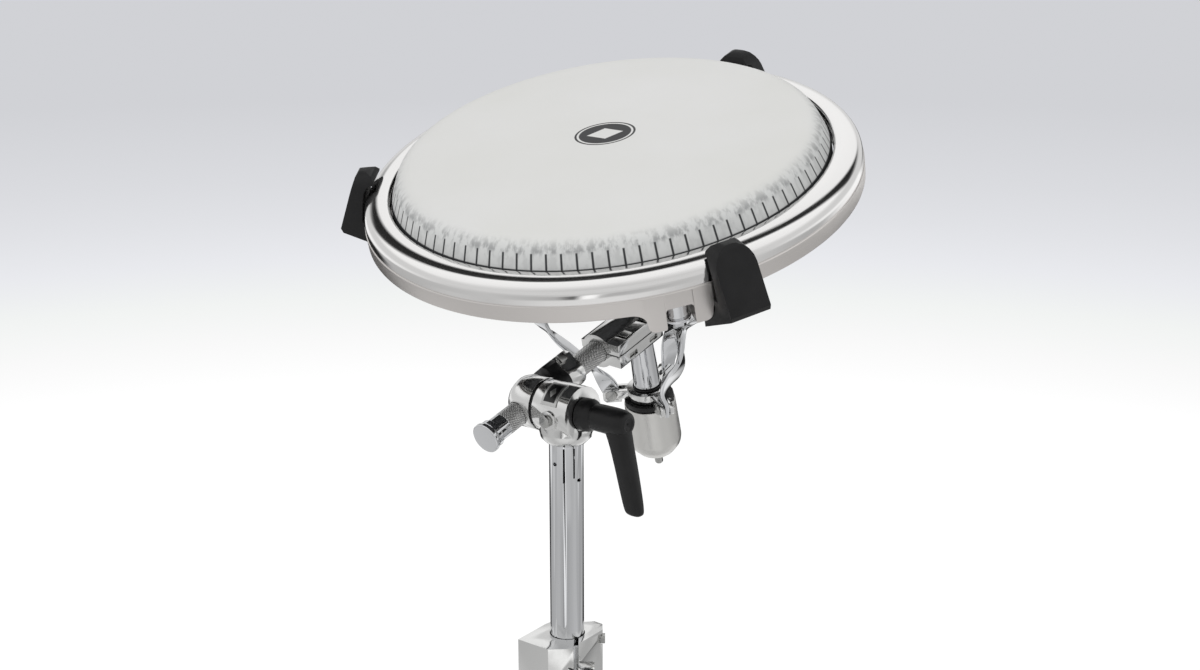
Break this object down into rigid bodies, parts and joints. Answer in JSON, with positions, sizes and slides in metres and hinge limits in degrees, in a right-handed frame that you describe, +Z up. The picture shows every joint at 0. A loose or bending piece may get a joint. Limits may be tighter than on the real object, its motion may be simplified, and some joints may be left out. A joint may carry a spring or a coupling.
{
  "type": "compact conga on a stand",
  "caption": "Shell-less conga: a synthetic head in a polished rim, gripped by rubber claws of a snare-type basket on a tilting, height-adjustable tripod stand.",
  "frame": {"origin": "on the floor, at the centre of the footprint of the whole assembly", "axes": "+Z up along the stand's tube, -Y towards the picture's viewer, +X to the viewer's right"},
  "size_m": [0.5643, 0.5914, 0.8647],
  "materials": {
    "chrome": "bright chrome plating",
    "polished_alloy": "polished",
    "zinc_steel": "zinc plated",
    "drum_film": "matte white coated film",
    "black_nylon": "moulded, low sheen",
    "black_rubber": "moulded, matte"
  },
  "bodies": {
    "stand": {"lower_tube": "chrome", "height_bushing": "black_nylon", "height_clamp": "chrome", "clamp_key_bolt": "zinc_steel", "lower_collar": "black_nylon"},
    "height_wing": {"height_wing_bolt": "chrome"},
    "mast": {"upper_tube": "chrome", "tilter_body": "chrome", "tilter_screw": "zinc_steel", "tilter_disc": "black_nylon", "badge_plate": "black_nylon"},
    "lever": {"tilt_lever": "black_nylon"},
    "holder": {"rod_holder": "chrome", "tilt_eye_bolt": "zinc_steel"},
    "boom": {"boom_rod": "chrome", "boom_end_cap": "chrome", "memory_lock_pad": "black_nylon", "memory_lock": "chrome", "memory_lock_bolt": "zinc_steel"},
    "basket": {"bracket_base": "chrome", "bracket_cap": "chrome", "bracket_bolt_1": "zinc_steel", "bracket_bolt_2": "zinc_steel", "basket_shaft": "chrome", "grip_screw": "zinc_steel", "shaft_seal": "black_rubber", "basket_hub": "chrome", "arm_rivet_a": "zinc_steel", "arm_rivet_b": "zinc_steel", "arm_rivet_c": "zinc_steel", "rim": "polished_alloy", "head_film": "drum_film", "flesh_hoop": "polished_alloy", "bearing_edge_frame": "polished_alloy"},
    "tuning_a": {"tuning_bolt_a": "chrome"},
    "tuning_b": {"tuning_bolt_b": "chrome"},
    "tuning_c": {"tuning_bolt_c": "chrome"},
    "pressure": {"pressure_disc": "black_nylon"},
    "nut": {"grip_nut": "polished_alloy"},
    "arm_a": {"arm_a": "chrome", "claw_a": "black_rubber"},
    "arm_b": {"arm_b": "chrome", "claw_b": "black_rubber"},
    "arm_c": {"arm_c": "chrome", "claw_c": "black_rubber"},
    "brace_1": {"brace_1": "chrome", "leg_pin_1": "zinc_steel"},
    "brace_2": {"brace_2": "chrome", "leg_pin_2": "zinc_steel"},
    "brace_3": {"brace_3": "chrome", "leg_pin_3": "zinc_steel"},
    "leg_1": {"leg_1": "chrome", "foot_1": "black_rubber"},
    "leg_2": {"leg_2": "chrome", "foot_2": "black_rubber"},
    "leg_3": {"leg_3": "chrome", "foot_3": "black_rubber"},
    "collar": {"upper_collar": "black_nylon"},
    "collar_wing": {"collar_wing_bolt": "chrome"}
  },
  "joints": [
    {"name": "height_wing_turn", "type": "hinge", "parent": "stand", "child": "height_wing", "pos_m": [0.0553, 0.0051, 0.468], "axis": [1, 0, 0], "range_deg": [0, 360]},
    {"name": "height_slide", "type": "slide", "parent": "stand", "child": "mast", "axis": [0, 0, 1], "range_m": [-0.1, 0.1]},
    {"name": "tilt_lever_turn", "type": "hinge", "parent": "mast", "child": "lever", "pos_m": [0.0553, 0.0281, 0.6532], "axis": [0.766, -0.6428, 0], "range_deg": [-60, 60]},
    {"name": "boom_tilt", "type": "hinge", "parent": "mast", "child": "holder", "pos_m": [0.0553, 0.0281, 0.6532], "axis": [0.766, -0.6428, 0], "range_deg": [-20, 35]},
    {"name": "boom_slide", "type": "slide", "parent": "holder", "child": "boom", "axis": [0.6132, 0.7308, 0.2999], "range_m": [0, 0.021]},
    {"name": "bracket_swivel", "type": "hinge", "parent": "boom", "child": "basket", "pos_m": [0.03385, 0.0461, 0.6532], "axis": [0.6132, 0.7308, 0.2999], "range_deg": [-12, 12]},
    {"name": "tuning_turn_a", "type": "hinge", "parent": "basket", "child": "tuning_a", "pos_m": [0.11733, -0.04359, 0.76269], "axis": [-0.1445, -0.2899, 0.9461], "range_deg": [-360, 360]},
    {"name": "tuning_turn_b", "type": "hinge", "parent": "basket", "child": "tuning_b", "pos_m": [0.19576, 0.2009, 0.84959], "axis": [-0.1445, -0.2899, 0.9461], "range_deg": [-360, 360]},
    {"name": "tuning_turn_c", "type": "hinge", "parent": "basket", "child": "tuning_c", "pos_m": [-0.06559, 0.15379, 0.79522], "axis": [-0.1445, -0.2899, 0.9461], "range_deg": [-360, 360]},
    {"name": "grip_nut_turn", "type": "hinge", "parent": "pressure", "child": "nut", "pos_m": [0.08488, 0.1036, 0.80283], "axis": [0.1445, 0.2899, -0.9461], "range_deg": [0, 1080]},
    {"name": "grip_disc_slide", "type": "slide", "parent": "basket", "child": "pressure", "axis": [0.1445, 0.2899, -0.9461], "range_m": [0, 0.0038]},
    {"name": "arm_open_a", "type": "hinge", "parent": "basket", "child": "arm_a", "pos_m": [0.1221, 0.13344, 0.62265], "axis": [0.9058, 0.3462, 0.2444], "range_deg": [0, 9.1]},
    {"name": "arm_open_b", "type": "hinge", "parent": "basket", "child": "arm_b", "pos_m": [0.12651, 0.17724, 0.63674], "axis": [-0.8123, 0.5807, 0.0538], "range_deg": [0, 9.1]},
    {"name": "arm_open_c", "type": "hinge", "parent": "basket", "child": "arm_c", "pos_m": [0.08544, 0.16059, 0.62537], "axis": [-0.0935, -0.9478, -0.3047], "range_deg": [0, 9.1]},
    {"name": "tripod_fold", "type": "hinge", "parent": "stand", "child": "brace_1", "pos_m": [0.07458, 0.05108, 0.046], "axis": [0.766, -0.6428, 0], "range_deg": [0, 49]},
    {"name": "brace_fold_2", "type": "hinge", "parent": "stand", "child": "brace_2", "pos_m": [0.02576, 0.03331, 0.046], "axis": [0.1736, 0.9848, 0], "range_deg": [0, 49.1]},
    {"name": "brace_fold_3", "type": "hinge", "parent": "stand", "child": "brace_3", "pos_m": [0.06556, -0.00009, 0.046], "axis": [-0.9397, -0.342, 0], "range_deg": [0, 49.1]},
    {"name": "leg_fold_1", "type": "hinge", "parent": "brace_1", "child": "leg_1", "pos_m": [0.15357, 0.14521, 0.13204], "axis": [0.766, -0.6428, 0], "range_deg": [-98.2, 0]},
    {"name": "leg_fold_2", "type": "hinge", "parent": "brace_2", "child": "leg_2", "pos_m": [-0.09525, 0.05465, 0.13204], "axis": [0.1736, 0.9848, 0], "range_deg": [-98.2, 0]},
    {"name": "leg_fold_3", "type": "hinge", "parent": "brace_3", "child": "leg_3", "pos_m": [0.10759, -0.11555, 0.13204], "axis": [-0.9397, -0.342, 0], "range_deg": [-98.2, 0]},
    {"name": "collar_rise", "type": "hinge", "parent": "leg_1", "child": "collar", "pos_m": [0.07458, 0.05108, 0.21807], "axis": [0.766, -0.6428, 0], "range_deg": [0, 49.1]},
    {"name": "collar_wing_turn", "type": "hinge", "parent": "collar", "child": "collar_wing", "pos_m": [0.0553, 0.0281, 0.22607], "axis": [0.9848, -0.1736, 0], "range_deg": [0, 360]}
  ],
  "couplings": [
    {"joint": "grip_disc_slide", "follows": "grip_nut_turn", "m_per_rad": 0.00019894},
    {"joint": "arm_open_a", "follows": "grip_nut_turn", "ratio": 0.0083333},
    {"joint": "arm_open_b", "follows": "grip_nut_turn", "ratio": 0.0083333},
    {"joint": "arm_open_c", "follows": "grip_nut_turn", "ratio": 0.0083333},
    {"joint": "brace_fold_2", "follows": "tripod_fold", "ratio": 1},
    {"joint": "brace_fold_3", "follows": "tripod_fold", "ratio": 1},
    {"joint": "leg_fold_1", "follows": "tripod_fold", "ratio": -2},
    {"joint": "leg_fold_2", "follows": "tripod_fold", "ratio": -2},
    {"joint": "leg_fold_3", "follows": "tripod_fold", "ratio": -2},
    {"joint": "collar_rise", "follows": "tripod_fold", "ratio": 1}
  ]
}
